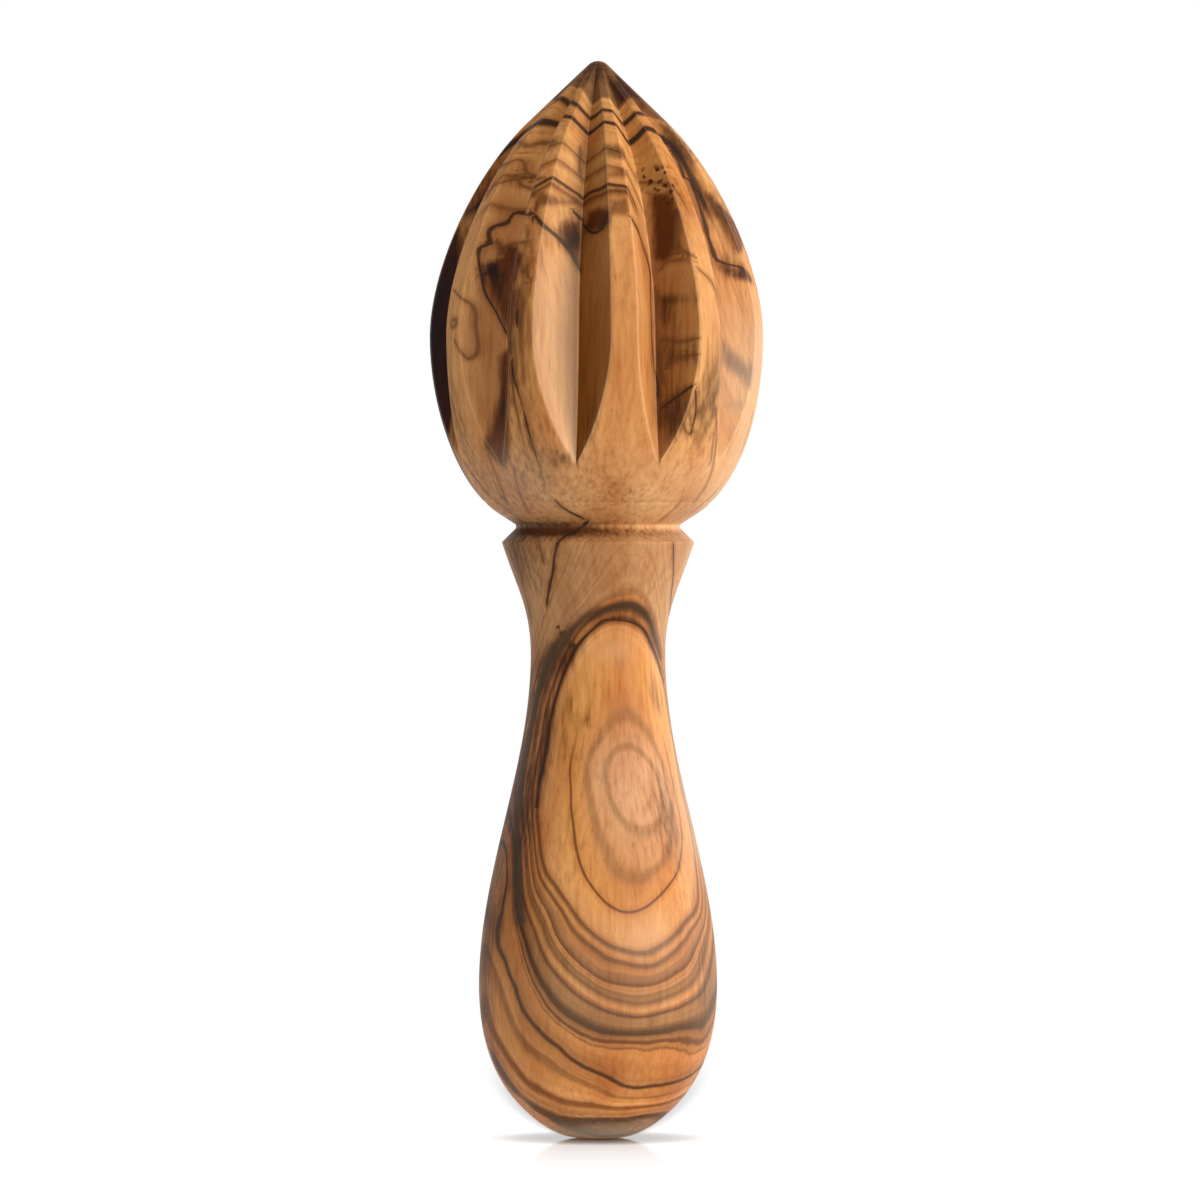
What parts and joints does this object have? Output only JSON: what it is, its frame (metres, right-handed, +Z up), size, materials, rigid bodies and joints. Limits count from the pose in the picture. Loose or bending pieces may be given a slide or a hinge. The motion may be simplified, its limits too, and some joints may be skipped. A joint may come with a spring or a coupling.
{
  "type": "citrus reamer",
  "caption": "Hand citrus reamer turned from one piece of olive wood: a fluted conical reaming head, a grooved neck with a collar, and a waisted handle that swells to a rounded butt.",
  "frame": {"origin": "centre of the small flat foot under the handle, on the surface that the reamer stands on", "axes": "+Z up along the lathe axis to the tip of the reaming head; -Y faces the viewer of the picture; the widest flute lies 8.9 degrees from -Y towards -X"},
  "size_m": [0.0495, 0.0498, 0.16],
  "materials": {
    "olive_wood": "oiled satin"
  },
  "bodies": {
    "root": {"reamer": "olive_wood"}
  },
  "joints": []
}
